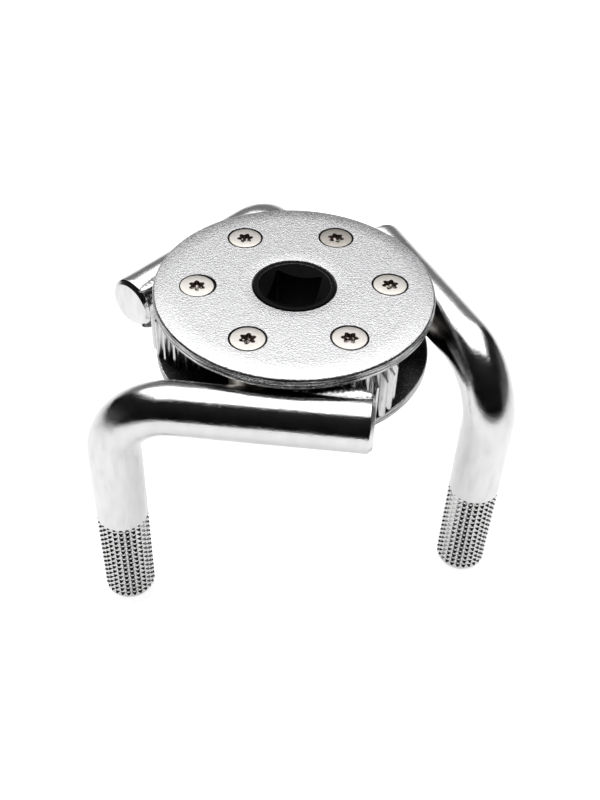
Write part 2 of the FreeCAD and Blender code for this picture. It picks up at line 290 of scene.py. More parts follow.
def new_material(name, metallic):
    material = bpy.data.materials.new(name)
    material.use_nodes = True
    shader = material.node_tree.nodes["Principled BSDF"]
    shader.inputs["Metallic"].default_value = metallic
    return material, material.node_tree, shader


def noise_value(tree, size, detail=2.0, roughness=0.5, stretch=(1, 1, 1)):
    """Noise whose lumps are about size across, on the piece's own coordinates."""
    scaled = add_node(tree, "ShaderNodeMapping", {
        "Vector": object_place(tree),
        "Scale": stretch,
    })
    lumps = add_node(tree, "ShaderNodeTexNoise", {
        "Vector": scaled.outputs["Vector"],
        "Scale": 1 / size,
        "Detail": detail,
        "Roughness": roughness,
    })
    return lumps.outputs["Fac"]


def spread(tree, value, low, high, start=0.3, end=0.7):
    """Map a value to a range; the defaults suit a noise."""
    return add_node(tree, "ShaderNodeMapRange", {
        "Value": value,
        "From Min": start,
        "From Max": end,
        "To Min": low,
        "To Max": high,
    }).outputs["Result"]


def math_value(tree, operation, *values):
    """Result of one operation on values or other nodes' sockets."""
    return add_node(tree, "ShaderNodeMath", dict(enumerate(values)),
                    operation=operation).outputs["Value"]


def blend_colours(tree, share, first, second):
    """Mix of two colours, each a value or another node's socket."""
    mix = tree.nodes.new("ShaderNodeMix")
    mix.data_type = "RGBA"
    factor, _, _, _, _, _, colour_a, colour_b = mix.inputs[:8]
    tree.links.new(share, factor)
    for socket, colour in ((colour_a, first), (colour_b, second)):
        if isinstance(colour, bpy.types.NodeSocket):
            tree.links.new(colour, socket)
        else:
            socket.default_value = (*colour, 1)
    return mix.outputs[2]


def add_bump(tree, height, depth, under=None):
    """Bump of a real depth in metres, on top of another bump if one is given."""
    inputs = {"Height": height, "Distance": depth, "Strength": 1.0}
    if under is not None:
        inputs["Normal"] = under
    return add_node(tree, "ShaderNodeBump", inputs).outputs["Normal"]


def make_chrome():
    """Bright plate over a bar that was drawn, bent and only lightly polished."""
    material, tree, shader = new_material("bar_chrome", 1.0)
    tone = blend_colours(tree, noise_value(tree, 9 * MM), (0.84, 0.84, 0.84), (0.89, 0.89, 0.89))
    smears = spread(tree, noise_value(tree, 1.6 * MM, 4, stretch=(1, 1, 0.3)), 0, 0.36, 0.42, 0.72)
    waves = add_bump(tree, noise_value(tree, 7 * MM), 0.10 * MM)
    scratches = add_bump(tree, noise_value(tree, 0.25 * MM, 2, stretch=(1, 1, 0.06)),
                         0.004 * MM, waves)
    set_inputs(tree, shader, {
        "Base Color": blend_colours(tree, smears, tone, (0.58, 0.57, 0.56)),
        "Roughness": spread(tree, noise_value(tree, 3 * MM, 4), 0.11, 0.18),
        "Normal": add_bump(tree, noise_value(tree, 0.4 * MM, 2), 0.045 * MM, scratches),
    })
    return material


def face_flatness(tree):
    """1 on faces that lie flat, falling to 0 where they stand upright."""
    geometry = tree.nodes.new("ShaderNodeNewGeometry")
    parts = add_node(tree, "ShaderNodeSeparateXYZ", {"Vector": geometry.outputs["True Normal"]})
    up_or_down = math_value(tree, "ABSOLUTE", parts.outputs["Z"])
    return spread(tree, up_or_down, 0.0, 1.0, 0.55, 0.9)


def make_plate_steel():
    """Grainy satin chrome on the flat faces, polished and streaked on the upright ones."""
    material, tree, shader = new_material("plate_steel", 0.86)
    flatness = face_flatness(tree)
    speckle = spread(tree, noise_value(tree, 0.28 * MM, 1), 0, 1, 0.38, 0.62)
    face = blend_colours(tree, speckle, (0.74, 0.74, 0.75), (0.88, 0.88, 0.89))
    sheared = spread(tree, noise_value(tree, 0.3 * MM, 3, stretch=(0.04, 0.04, 1)),
                     0, 1, 0.38, 0.62)
    edge = blend_colours(tree, sheared, (0.16, 0.16, 0.16), (0.84, 0.84, 0.84))
    satin = spread(tree, noise_value(tree, 9 * MM, 4), 0.16, 0.21)
    set_inputs(tree, shader, {
        "Base Color": blend_colours(tree, flatness, edge, face),
        "Roughness": spread(tree, flatness, 0.09, satin, 0, 1),
        "Normal": add_bump(tree, noise_value(tree, 0.34 * MM, 1), 0.11 * MM),
    })
    return material


def make_shaded_inside():
    """Inner face of a plate and its countersinks: near-black, as painted shade between the plates
    and in the holes, with bright specks.
    """
    material, tree, shader = new_material("inside_painted_shade", 1.0)
    # painted shade: a near-black colour with bright specks in it
    lit_specks = spread(tree, noise_value(tree, 0.5 * MM, 3), 0, 1, 0.58, 0.78)
    set_inputs(tree, shader, {
        "Base Color": blend_colours(tree, lit_specks, (0.035, 0.035, 0.036), (0.35, 0.35, 0.35)),
        "Roughness": spread(tree, noise_value(tree, 2 * MM, 3), 0.3, 0.45),
        "Normal": add_bump(tree, noise_value(tree, 0.5 * MM, 2), 0.03 * MM),
    })
    return material


def make_gear_steel():
    """Bright steel with the drag marks of its cutting, upright on the teeth."""
    material, tree, shader = new_material("gear_steel", 1.0)
    drag = noise_value(tree, 0.6 * MM, 3, stretch=(1, 1, 0.1))
    set_inputs(tree, shader, {
        "Base Color": blend_colours(tree, noise_value(tree, 2 * MM), (0.68, 0.68, 0.69),
                                    (0.80, 0.80, 0.80)),
        "Roughness": spread(tree, drag, 0.14, 0.3),
        "Normal": add_bump(tree, drag, 0.01 * MM),
    })
    return material


def make_weld_metal():
    """Uneven bright weld metal."""
    material, tree, shader = new_material("weld_metal", 1.0)
    set_inputs(tree, shader, {
        "Base Color": blend_colours(tree, noise_value(tree, 1.2 * MM), (0.76, 0.76, 0.76),
                                    (0.88, 0.88, 0.87)),
        "Roughness": spread(tree, noise_value(tree, 0.8 * MM, 3), 0.22, 0.40),
        "Normal": add_bump(tree, noise_value(tree, 0.5 * MM, 4), 0.03 * MM),
    })
    return material


def make_post_steel():
    """Warm turned steel with rings round the post."""
    material, tree, shader = new_material("post_steel", 1.0)
    rings = noise_value(tree, 0.4 * MM, 2, stretch=(0.05, 0.05, 1))
    set_inputs(tree, shader, {
        "Base Color": blend_colours(tree, rings, (0.66, 0.61, 0.55), (0.76, 0.72, 0.66)),
        "Roughness": spread(tree, rings, 0.25, 0.4),
        "Normal": add_bump(tree, rings, 0.015 * MM),
    })
    return material


def make_screw_nickel(name, dark, light):
    """Slightly warm plated metal of a screw, unevenly worn; given dark colours it is the painted
    shade on a recess's wall.
    """
    material, tree, shader = new_material(name, 1.0)
    set_inputs(tree, shader, {
        "Base Color": blend_colours(tree, noise_value(tree, 0.9 * MM, 4), dark, light),
        "Roughness": spread(tree, noise_value(tree, 0.7 * MM, 3), 0.3, 0.42),
        "Normal": add_bump(tree, noise_value(tree, 0.25 * MM, 2), 0.008 * MM),
    })
    return material


def make_worn_oxide():
    """Edge where the black coating has been rubbed down to grey steel."""
    material, tree, shader = new_material("worn_oxide", 1.0)
    rubbed = spread(tree, noise_value(tree, 0.7 * MM, 3), 0, 1)
    set_inputs(tree, shader, {
        "Base Color": blend_colours(tree, rubbed, (0.02, 0.02, 0.02), (0.13, 0.13, 0.135)),
        "Roughness": 0.45,
    })
    return material


def make_lit_bottom():
    """Bottom of a screw's recess: bright patches of painted light on dark metal."""
    material, tree, shader = new_material("bottom_painted_light", 1.0)
    # painted light: bright patches on dark metal
    lit_patches = spread(tree, noise_value(tree, 0.8 * MM, 3), 0, 1, 0.46, 0.60)
    set_inputs(tree, shader, {
        "Base Color": blend_colours(tree, lit_patches, (0.03, 0.022, 0.018), (0.78, 0.74, 0.68)),
        "Roughness": 0.35,
    })
    return material


def make_black_oxide():
    """Blackened steel, unevenly glossy."""
    material, tree, shader = new_material("black_oxide", 0.0)
    set_inputs(tree, shader, {
        "Base Color": blend_colours(tree, noise_value(tree, 1.2 * MM, 4),
                                    (0.0010, 0.0010, 0.0012), (0.004, 0.004, 0.0045)),
        "Roughness": spread(tree, noise_value(tree, 0.9 * MM, 3), 0.34, 0.5),
        "Specular IOR Level": 0.07,
        "Normal": add_bump(tree, noise_value(tree, 0.3 * MM, 2), 0.01 * MM),
    })
    return material


# ---------------------------------------------------------------- arms: bars and legs

def arm_axes(number):
    """Matrix from an arm's own frame to the part's frame, and the reach of its leg."""
    joint = next(j for j in frame["joints"] if j["child"] == f"arm_{number}")
    pivot = Vector(joint["pos_m"])
    tip = next(m for m in frame["record"]["mounts"] if m["name"] == f"leg_tip_{number}")
    across = Vector(tip["pos_m"]) - pivot
    reach = math.sqrt(across.x ** 2 + across.y ** 2 - BAR_OFFSET ** 2)
    heading = math.atan2(across.y, across.x) - math.atan2(BAR_OFFSET, reach)
    matrix = Matrix.Translation((pivot.x, pivot.y, 0)) @ Matrix.Rotation(heading, 4, "Z")
    return matrix, reach


def bar_level(number):
    """Height of the bar's axis, one radius below the top of its box."""
    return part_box(f"arm_{number}_bar")[1].z - BAR_RADIUS


def spaced(start, end, step):
    """Even distances from start up to, but without, end."""
    count = max(1, round((end - start) / step))
    return [start + (end - start) * index / count for index in range(count)]


def bar_stops(reach, level):
    """Distances along the bar at which the bend starts, the bend ends and the knurl starts."""
    bend_start = reach - BEND_RADIUS + BAR_BEHIND
    bend_end = bend_start + BEND_RADIUS * math.pi / 2
    return bend_start, bend_end, bend_end + level - BEND_RADIUS - KNURL_TOP


def bar_station(distance, reach, level):
    """Centre and outer side of the bar at a distance along its axis from its blunt end."""
    bend_start, bend_end, _ = bar_stops(reach, level)
    if distance <= bend_start:
        return Vector((distance - BAR_BEHIND, BAR_OFFSET, level)), Vector((0, 0, 1))
    if distance <= bend_end:
        angle = (distance - bend_start) / BEND_RADIUS
        outer = Vector((math.sin(angle), 0, math.cos(angle)))
        middle = Vector((reach - BEND_RADIUS, BAR_OFFSET, level - BEND_RADIUS))
        return middle + outer * BEND_RADIUS, outer
    drop = distance - bend_end
    return Vector((reach, BAR_OFFSET, level - BEND_RADIUS - drop)), Vector((1, 0, 0))


def surface_wander(point, seed):
    """Unevenness of a drawn and plated bar: how deep its surface lies, from 0 to 1."""
    slow = noise.noise(point / WANDER_SLOW_SIZE + seed)
    quick = noise.noise(point / WANDER_QUICK_SIZE + seed)
    return 0.5 - WANDER_SLOW_SHARE * slow - WANDER_QUICK_SHARE * quick


def cross_section(centre, beside, outer, angles, radii):
    """Ring of points around a centre; the angles start at one side and turn to the outer one."""
    points = []
    for angle, radius in zip(angles, radii):
        points.append(centre + (beside * math.cos(angle) + outer * math.sin(angle)) * radius)
    return points


def knurl_steps():
    """Places within one cell, from 0 to 1, where the height turns: groove, flat, groove."""
    half_groove = KNURL_GROOVE / 2
    half_flat = KNURL_FLAT / 2
    return [half_groove, 0.5 - half_flat, 0.5 + half_flat, 1 - half_groove]


def is_raised(index):
    """Whether a turning place, counted from a groove, lies on the flat of a point."""
    return index % KNURL_TURNS in (1, 2)


def knurl_angles():
    """Angles of the columns' turning places all the way round a leg."""
    cell = math.tau / KNURL_COLUMNS
    return [cell * (column + step) for column in range(KNURL_COLUMNS) for step in knurl_steps()]


def knurl_rings(reach):
    """Rings down the knurled end of a leg, from its top groove to its flat tip."""
    angles = knurl_angles()
    pitch = (KNURL_TOP - KNURL_FOOT) / KNURL_ROWS
    outer = Vector((1, 0, 0))
    low = BAR_RADIUS - KNURL_DEPTH
    rings = []
    for row in range(KNURL_ROWS):
        for place, step in enumerate(knurl_steps()):
            centre = Vector((reach, BAR_OFFSET, KNURL_TOP - pitch * (row + step)))
            radii = [BAR_RADIUS if is_raised(place) and is_raised(index) else low
                     for index in range(len(angles))]
            rings.append(cross_section(centre, BAR_SIDE, outer, angles, radii))
    tip = Vector((reach, BAR_OFFSET, 0))
    rings.append(cross_section(tip, BAR_SIDE, outer, angles, [low] * len(angles)))
    return rings


def crease_knurl(piece, first_ring, count):
    """Split the corner faces of the knurl's points along the ridge that runs up to the flat."""
    work = bmesh.new()
    work.from_mesh(piece.data)
    work.verts.ensure_lookup_table()
    work.faces.ensure_lookup_table()
    for row in range(KNURL_ROWS * KNURL_TURNS - 1):
        for index in range(count):
            if row % 2 or index % 2:
                continue
            here = (first_ring + row) * count + index
            ahead = (first_ring + row) * count + (index + 1) % count
            below = here + count
            below_ahead = ahead + count
            is_same_side = row % KNURL_TURNS == index % KNURL_TURNS
            ends = (here, below_ahead) if is_same_side else (ahead, below)
            corners = [work.verts[number] for number in ends]
            bmesh.ops.connect_verts(work, verts=corners)
    work.to_mesh(piece.data)
    work.free()


def chamfer_rings(reach, level, angles):
    """Rings of the blunt end, from its flat face out over its chamfer."""
    rings = []
    for along, inward in CHAMFER_SHARES:
        centre, outer = bar_station(BAR_END_CHAMFER * along, reach, level)
        radius = BAR_RADIUS - BAR_END_CHAMFER * inward
        rings.append(cross_section(centre, BAR_SIDE, outer, angles, [radius] * len(angles)))
    return rings


def bar_radii(centre, outer, angles, seed, wander_share, flattened):
    """Radius of the bar at each angle, less its unevenness and the flattening of its bend."""
    radii = []
    for angle in angles:
        direction = BAR_SIDE * math.cos(angle) + outer * math.sin(angle)
        wander = surface_wander(centre + direction * BAR_RADIUS, seed) * WANDER_DEPTH
        radii.append(BAR_RADIUS - wander * wander_share - flattened * math.sin(angle) ** 2)
    return radii


def smooth_rings(reach, level, angles, seed):
    """Rings of the plain bar, from its chamfer through the bend to the top of the knurl."""
    bend_start, bend_end, knurl_start = bar_stops(reach, level)
    steps = spaced(BAR_END_CHAMFER, bend_start, BAR_STEP)
    steps += spaced(bend_start, bend_end, BEND_STEP)
    steps += spaced(bend_end, knurl_start, BAR_STEP) + [knurl_start]
    rings = []
    for distance in steps:
        centre, outer = bar_station(distance, reach, level)
        into_bend = min(1.0, max(0.0, (distance - bend_start) / (bend_end - bend_start)))
        flattened = math.sin(into_bend * math.pi) * BEND_FLATTENING
        wander_share = min(1.0, (distance - BAR_END_CHAMFER) / WANDER_FADE)
        radii = bar_radii(centre, outer, angles, seed, wander_share, flattened)
        rings.append(cross_section(centre, BAR_SIDE, outer, angles, radii))
    return rings


def make_bar(number, chrome):
    """Round bar, its bend, and the leg with its knurl as one closed mesh."""
    node = f"arm_{number}_bar"
    matrix, reach = arm_axes(number)
    level = bar_level(number)
    angles = knurl_angles()
    seed = Vector((number * 3.7, 1.3, 0.4))
    rings = chamfer_rings(reach, level, angles) + smooth_rings(reach, level, angles, seed)
    plain_rings = len(rings)
    rings += knurl_rings(reach)
    piece = skin(f"{node}_polished", rings)
    crease_knurl(piece, plain_rings, len(angles))
    piece.data.transform(matrix)
    return finish_piece(piece, node, chrome, BODY_OF_NODE[node])


# ---------------------------------------------------------------- gears

def involute(angle):
    return math.tan(angle) - angle


def tooth_half_angle(teeth, radius):
    """Half the angle of a tooth at a radius on its involute flank."""
    pitch = GEAR_MODULE * teeth / 2
    base = pitch * math.cos(PRESSURE_ANGLE)
    pressure = math.acos(min(1.0, base / radius))
    thinned = GEAR_BACKLASH / 4 / pitch
    return math.pi / (2 * teeth) - thinned + involute(PRESSURE_ANGLE) - involute(pressure)


def tip_radius(teeth):
    return GEAR_MODULE * (teeth / 2 + 1)


def gear_outline(teeth, first_tooth, flank_points=5, flat_points=3):
    """Outline of a gear as (angle, radius) pairs, starting at a tooth."""
    pitch = GEAR_MODULE * teeth / 2
    root = pitch - GEAR_DEDENDUM
    tip = tip_radius(teeth)
    base = max(root, pitch * math.cos(PRESSURE_ANGLE))
    flank = [base + (tip - base) * index / flank_points for index in range(flank_points + 1)]
    outline = []
    for tooth in range(teeth):
        middle = first_tooth + math.tau * tooth / teeth
        next_gap = middle + math.pi / teeth
        foot = tooth_half_angle(teeth, base)
        outline += [(middle + tooth_half_angle(teeth, radius), radius)
                    for radius in reversed(flank)]
        outline.append((middle + foot, root))
        for index in range(1, flat_points):
            share = index / flat_points
            outline.append((middle + foot + share * 2 * (next_gap - middle - foot), root))
        following = middle + math.tau / teeth
        outline.append((following - foot, root))
        outline += [(following - tooth_half_angle(teeth, radius), radius) for radius in flank]
        crown = tooth_half_angle(teeth, tip)
        for index in range(1, flat_points):
            share = index / flat_points
            outline.append((following - crown + share * 2 * crown, tip))
    return outline


def outline_ring(outline, level, largest):
    """Ring of a gear outline at a level, turned down to a largest radius."""
    return [at_angle(min(radius, largest), angle, level) for angle, radius in outline]


def matching_circle(outline, radius, level):
    """Circle with its points at the angles of an outline."""
    return [at_angle(radius, angle, level) for angle, _ in outline]


def make_arm_gear(number, steel):
    """Arm gear with turned-down tooth ends and a round seat for its bar."""
    node = f"arm_{number}_gear"
    low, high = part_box(node)
    matrix, _ = arm_axes(number)
    pivot = matrix.translation
    tip = tip_radius(ARM_TEETH)
    toward_drive = math.atan2(-pivot.y, -pivot.x)
    outline = gear_outline(ARM_TEETH, toward_drive)
    rings = [
        matching_circle(outline, ARM_BORE_RADIUS, low.z),
        outline_ring(outline, low.z, tip - GEAR_CHAMFER),
        outline_ring(outline, low.z + GEAR_CHAMFER, tip),
        outline_ring(outline, high.z - TOOTH_TOP_HEIGHT, tip),
        outline_ring(outline, high.z, tip - TOOTH_TOP_DEPTH),
        matching_circle(outline, ARM_BORE_RADIUS, high.z),
    ]
    piece = skin(f"{node}_toothed", rings, joined=True)
    piece.data.transform(Matrix.Translation(pivot))
    cutter = make_seat_cutter(matrix, bar_level(number))
    cut_away(piece, cutter)
    return finish_piece(piece, node, steel, BODY_OF_NODE[node])


def make_seat_cutter(matrix, level):
    """Cylinder as wide as the bar, along the bar's axis."""
    angles = knurl_angles()
    rings = []
    for along in (-SEAT_CUT_REACH, SEAT_CUT_REACH):
        centre = Vector((along, BAR_OFFSET, level))
        rings.append(cross_section(centre, BAR_SIDE, Vector((0, 0, 1)), angles,
                                   [BAR_RADIUS] * len(angles)))
    cutter = skin("seat_cutter", rings)
    cutter.data.transform(matrix)
    return cutter


def square_radius(angle):
    """Distance from the axis to the wall of the square hole, whose corners are rounded."""
    half = DRIVE_SQUARE / 2
    turn = (angle - DRIVE_SQUARE_TURN) % (math.pi / 2)
    if turn > math.pi / 4:
        turn = math.pi / 2 - turn
    flat = half / math.cos(turn)
    corner_centre = (half - SQUARE_CORNER) * math.sqrt(2)
    off = math.pi / 4 - turn
    reach = corner_centre * math.sin(off)
    if reach >= SQUARE_CORNER:
        return flat
    rounded = corner_centre * math.cos(off) + math.sqrt(SQUARE_CORNER ** 2 - reach ** 2)
    return min(flat, rounded)


def square_ring(outline, level):
    """Ring on the wall of the square hole."""
    return [at_angle(square_radius(angle), angle, level) for angle, _ in outline]


def lead_in_ring(outline, face, inward):
    """Ring where the cone that leads in from a face meets the wall of the square hole."""
    ring = []
    for angle, _ in outline:
        radius = square_radius(angle)
        depth = (HUB_CONE_RADIUS - radius) * math.tan(HUB_CONE_SLOPE)
        ring.append(at_angle(radius, angle, face + inward * depth))
    return ring


def upper_hub_rings(outline, face):
    """Rings from the square hole up its cone, over the hub's face and round its edge."""
    worn_level = face - HUB_WORN_EDGE * math.tan(HUB_CONE_SLOPE)
    return [
        square_ring(outline, face - SQUARE_WALL_DEPTH),
        lead_in_ring(outline, face, -1),
        matching_circle(outline, HUB_CONE_RADIUS - HUB_WORN_EDGE, worn_level),
        matching_circle(outline, HUB_CONE_RADIUS, face),
        matching_circle(outline, HUB_RADIUS - HUB_EDGE, face),
        matching_circle(outline, HUB_RADIUS, face - HUB_EDGE),
    ]


def lower_hub_rings(outline, face):
    """Rings round the edge of the hub's lower face, over the face and into the square hole."""
    return [
        matching_circle(outline, HUB_RADIUS, face + HUB_EDGE),
        matching_circle(outline, HUB_RADIUS - HUB_EDGE, face),
        matching_circle(outline, HUB_CONE_RADIUS, face),
        lead_in_ring(outline, face, 1),
        square_ring(outline, face + SQUARE_WALL_DEPTH),
    ]


def toothed_rings(outline, low, high, tip):
    """Rings from the upper hub down over the teeth, chamfered at both ends, to the lower hub."""
    return [
        matching_circle(outline, HUB_RADIUS, high),
        outline_ring(outline, high, tip - GEAR_CHAMFER),
        outline_ring(outline, high - GEAR_CHAMFER, tip),
        outline_ring(outline, low + GEAR_CHAMFER, tip),
        outline_ring(outline, low, tip - GEAR_CHAMFER),
        matching_circle(outline, HUB_RADIUS, low),
    ]


def make_drive_gear(black, worn):
    """Drive gear: teeth in the gap, a hub through both plates and a square hole with lead-ins."""
    node = "drive_gear"
    low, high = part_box(node)
    gear_low, gear_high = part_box("arm_1_gear")
    first_pivot = arm_axes(1)[0].translation
    gap_direction = math.atan2(first_pivot.y, first_pivot.x)
    outline = gear_outline(DRIVE_TEETH, gap_direction + math.pi / DRIVE_TEETH)
    rings = upper_hub_rings(outline, high.z)
    rings += toothed_rings(outline, gear_low.z, gear_high.z, tip_radius(DRIVE_TEETH))
    rings += lower_hub_rings(outline, low.z)
    piece = skin(f"{node}_blackened", rings, joined=True)
    piece.data.materials.append(black)
    piece.data.materials.append(worn)
    for face in piece.data.polygons:
        if face.index // len(outline) == WORN_RING:
            face.material_index = 1
    return finish_piece(piece, node, black, BODY_OF_NODE[node], sharp_deg=12)


# ---------------------------------------------------------------- plates, posts, screws

def rim_profile(radius, thick):
    """Blanked edge from the outer face down: a drooping face, a roll and a finely lined band."""
    profile = []
    face = thick - RIM_DROOP_DEPTH
    start = radius - RIM_ROLL - RIM_DROOP_WIDTH
    for index in range(DROOP_STEPS):
        share = index / DROOP_STEPS
        profile.append((start + RIM_DROOP_WIDTH * share, thick - RIM_DROOP_DEPTH * share ** 2))
    for index in range(ROLL_STEPS + 1):
        angle = math.pi / 2 * index / ROLL_STEPS
        profile.append((radius - RIM_ROLL + RIM_ROLL * math.sin(angle),
                        face - RIM_ROLL + RIM_ROLL * math.cos(angle)))
    for share, depth in RIM_LINES:
        level = thick - thick * share
        profile.append((radius, level + RIM_LINE_HALF_WIDTH))
        profile.append((radius - depth, level))
        profile.append((radius, level - RIM_LINE_HALF_WIDTH))
    for index in range(FOOT_STEPS + 1):
        angle = math.pi / 2 * index / FOOT_STEPS
        profile.append((radius - RIM_FOOT + RIM_FOOT * math.cos(angle),
                        RIM_FOOT - RIM_FOOT * math.sin(angle)))
    return profile


def bore_profile(thick):
    """Bore from the inner face up: the outer face sinks a little as it nears the bore."""
    profile = [
        (PLATE_BORE_RADIUS + BORE_EDGE, 0),
        (PLATE_BORE_RADIUS, BORE_EDGE),
        (PLATE_BORE_RADIUS, thick - BORE_DISH_DEPTH - BORE_EDGE),
    ]
    for index in range(DISH_STEPS + 1):
        share = 1 - index / DISH_STEPS
        profile.append((PLATE_BORE_RADIUS + BORE_EDGE + BORE_DISH_WIDTH * (1 - share),
                        thick - BORE_DISH_DEPTH * share ** 2))
    return profile


def sink_hole(piece, centre, face, into):
    """Cut a countersunk hole from the outer face; into is -1 to cut downward and 1 upward."""
    hole = [
        (SINK_RADIUS + SINK_CUT_MARGIN, face - into * SINK_CUT_MARGIN),
        (SCREW_HOLE_RADIUS, face + into * (SINK_RADIUS - SCREW_HOLE_RADIUS)),
        (SCREW_HOLE_RADIUS, face + into * SINK_CUT_DEPTH),
    ]
    cut_away(piece, skin("sink_cutter", lathe(hole, ROUND_POINTS, centre.xy)))


def paint_plate_shade(piece, screws, into, steel, shade_inside):
    """Painted shade, in a dark material, on the face towards the gears and in the countersinks,
    bare steel elsewhere.
    """
    piece.data.materials.clear()
    piece.data.materials.append(steel)
    piece.data.materials.append(shade_inside)
    for polygon in piece.data.polygons:
        faces_inward = polygon.normal.z * into > 0.99
        is_sunk = abs(polygon.normal.z) < 0.8 and any(
            (polygon.center - centre).xy.length < SINK_RADIUS for centre in screws)
        polygon.material_index = 1 if faces_inward or is_sunk else 0


def make_plate(side, steel, shade_inside):
    """Top or bottom plate: a drooping rim, a dished bore and six countersunk holes."""
    node = f"{side}_plate"
    low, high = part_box(node)
    face, back, into = (high.z, low.z, -1) if side == "top" else (low.z, high.z, 1)
    thick = high.z - low.z
    profile = rim_profile((high.x - low.x) / 2, thick) + bore_profile(thick)
    profile = [(across, back - into * level) for across, level in profile]
    piece = skin(f"{node}_satin", lathe(profile, PLATE_POINTS), joined=True)
    screws = [centre_of(f"{side}_screw_{number}") for number in range(1, SCREW_COUNT + 1)]
    for centre in screws:
        sink_hole(piece, centre, face, into)
    paint_plate_shade(piece, screws, into, steel, shade_inside)
    return finish_piece(piece, node, steel, BODY_OF_NODE[node], sharp_deg=25)


def make_post(node, steel):
    """Turned post with chamfered ends, drilled through."""
    low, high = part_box(node)
    centre = centre_of(node)
    profile = [
        (SCREW_HOLE_RADIUS, low.z),
        (POST_RADIUS - POST_CHAMFER, low.z),
        (POST_RADIUS, low.z + POST_CHAMFER),
        (POST_RADIUS, high.z - POST_CHAMFER),
        (POST_RADIUS - POST_CHAMFER, high.z),
        (SCREW_HOLE_RADIUS, high.z),
    ]
    piece = skin(f"{node}_turned", lathe(profile, ROUND_POINTS, centre.xy), joined=True)
    return finish_piece(piece, node, steel, BODY_OF_NODE[node])


def lobe_ring(growth, level):
    """Outline of the six-lobe recess at a level, grown by a distance."""
    points = []
    for index in range(SCREW_POINTS):
        angle = math.tau * index / SCREW_POINTS
        bulge = (0.5 + 0.5 * math.cos(RECESS_LOBES * angle)) ** RECESS_LOBE_SHARPNESS
        radius = RECESS_VALLEY + RECESS_LOBE * bulge + growth
        points.append(at_angle(radius, angle, level))
    return points


def recess_rings():
    """Rings from the pointed bottom of the recess up to its mouth in the head's face."""
    return [
        circle(RECESS_POINT_RADIUS, -RECESS_DEPTH - RECESS_POINT_DEPTH, SCREW_POINTS),
        lobe_ring(-RECESS_TAPER, -RECESS_DEPTH),
        lobe_ring(0, -RECESS_MOUTH_DEPTH),
        lobe_ring(RECESS_MOUTH_FLARE, 0),
    ]


def screw_profile():
    """Head and shank as (radius, level) pairs, from the head's face down."""
    profile = [(SCREW_HEAD_RADIUS - SCREW_EDGE * inward, -SCREW_EDGE * down)
               for inward, down in SCREW_EDGE_SHARES]
    profile += [
        (SCREW_SHANK_RADIUS, SCREW_SHANK_RADIUS - SCREW_HEAD_RADIUS - SCREW_HEAD_RIM),
        (SCREW_SHANK_RADIUS, SCREW_TIP_CHAMFER - SCREW_LENGTH),
        (SCREW_SHANK_RADIUS - SCREW_TIP_CHAMFER, -SCREW_LENGTH),
    ]
    return profile


def paint_screw(piece, metals):
    """Head metal all over, wall metal with painted shade on the recess's sides and floor metal with
    painted light at its bottom.
    """
    for metal in metals:
        piece.data.materials.append(metal)
    bottom_cap = len(piece.data.polygons) - 2
    for face in piece.data.polygons:
        strip = face.index // SCREW_POINTS
        if strip == 0 or face.index == bottom_cap:
            face.material_index = 2
        elif strip == 1:
            face.material_index = 1


def screw_seat(node, head_up, clocking, loose):
    """Matrix that puts a screw in its plate, turned to its clocking."""
    low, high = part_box(node)
    centre = centre_of(node)
    turn = Matrix.Rotation(clocking, 4, "Z")
    if loose:
        lean = Matrix.Rotation(LOOSE_SCREW_TILT, 4, LOOSE_SCREW_AXIS)
        turn = Matrix.Translation(LOOSE_SCREW_SHIFT) @ lean @ turn
    rise = LOOSE_SCREW_RISE if loose else SCREW_RISE
    if head_up:
        return Matrix.Translation((centre.x, centre.y, high.z + rise)) @ turn
    flipped = Matrix.Rotation(math.pi, 4, "X")
    return Matrix.Translation((centre.x, centre.y, low.z - rise)) @ flipped @ turn


def make_screw(node, head_up, clocking, metals, loose=False):
    """Countersunk screw with a six-lobe recess; its head's face is at z = 0 before it is placed."""
    rings = recess_rings() + lathe(screw_profile(), SCREW_POINTS)
    piece = skin(f"{node}_plated", rings)
    paint_screw(piece, metals)
    piece.data.transform(screw_seat(node, head_up, clocking, loose))
    return finish_piece(piece, node, metals[0], BODY_OF_NODE[node])


# ---------------------------------------------------------------- welds

# Beads lie beside the bar in the arm's frame; the rise is above and below the bar's axis
WELD_HALF_WIDTH = 2.6 * MM
WELD_HALF_HEIGHT = 1.15 * MM
WELD_LEAN = math.radians(12)
WELD_BESIDE = 15.0 * MM
WELD_RISE = 6.0 * MM
WELD_HALF_LENGTH = 8.4 * MM
WELD_MIDDLE = 1 * MM
WELD_RIPPLE = 1.3 * MM
# shares of the bead's size: what stands at a ripple's middle, the ripple, and two sizes of lump
WELD_FILL = 0.9
WELD_RIPPLE_SHARE = 0.035
WELD_LUMPS = ((0.07, 1.4 * MM), (0.03, 0.6 * MM))
WELD_END_POWER = 2.6
WELD_END_LEAST = 0.004
BEAD_POINTS = 40
BEAD_STATIONS = 72


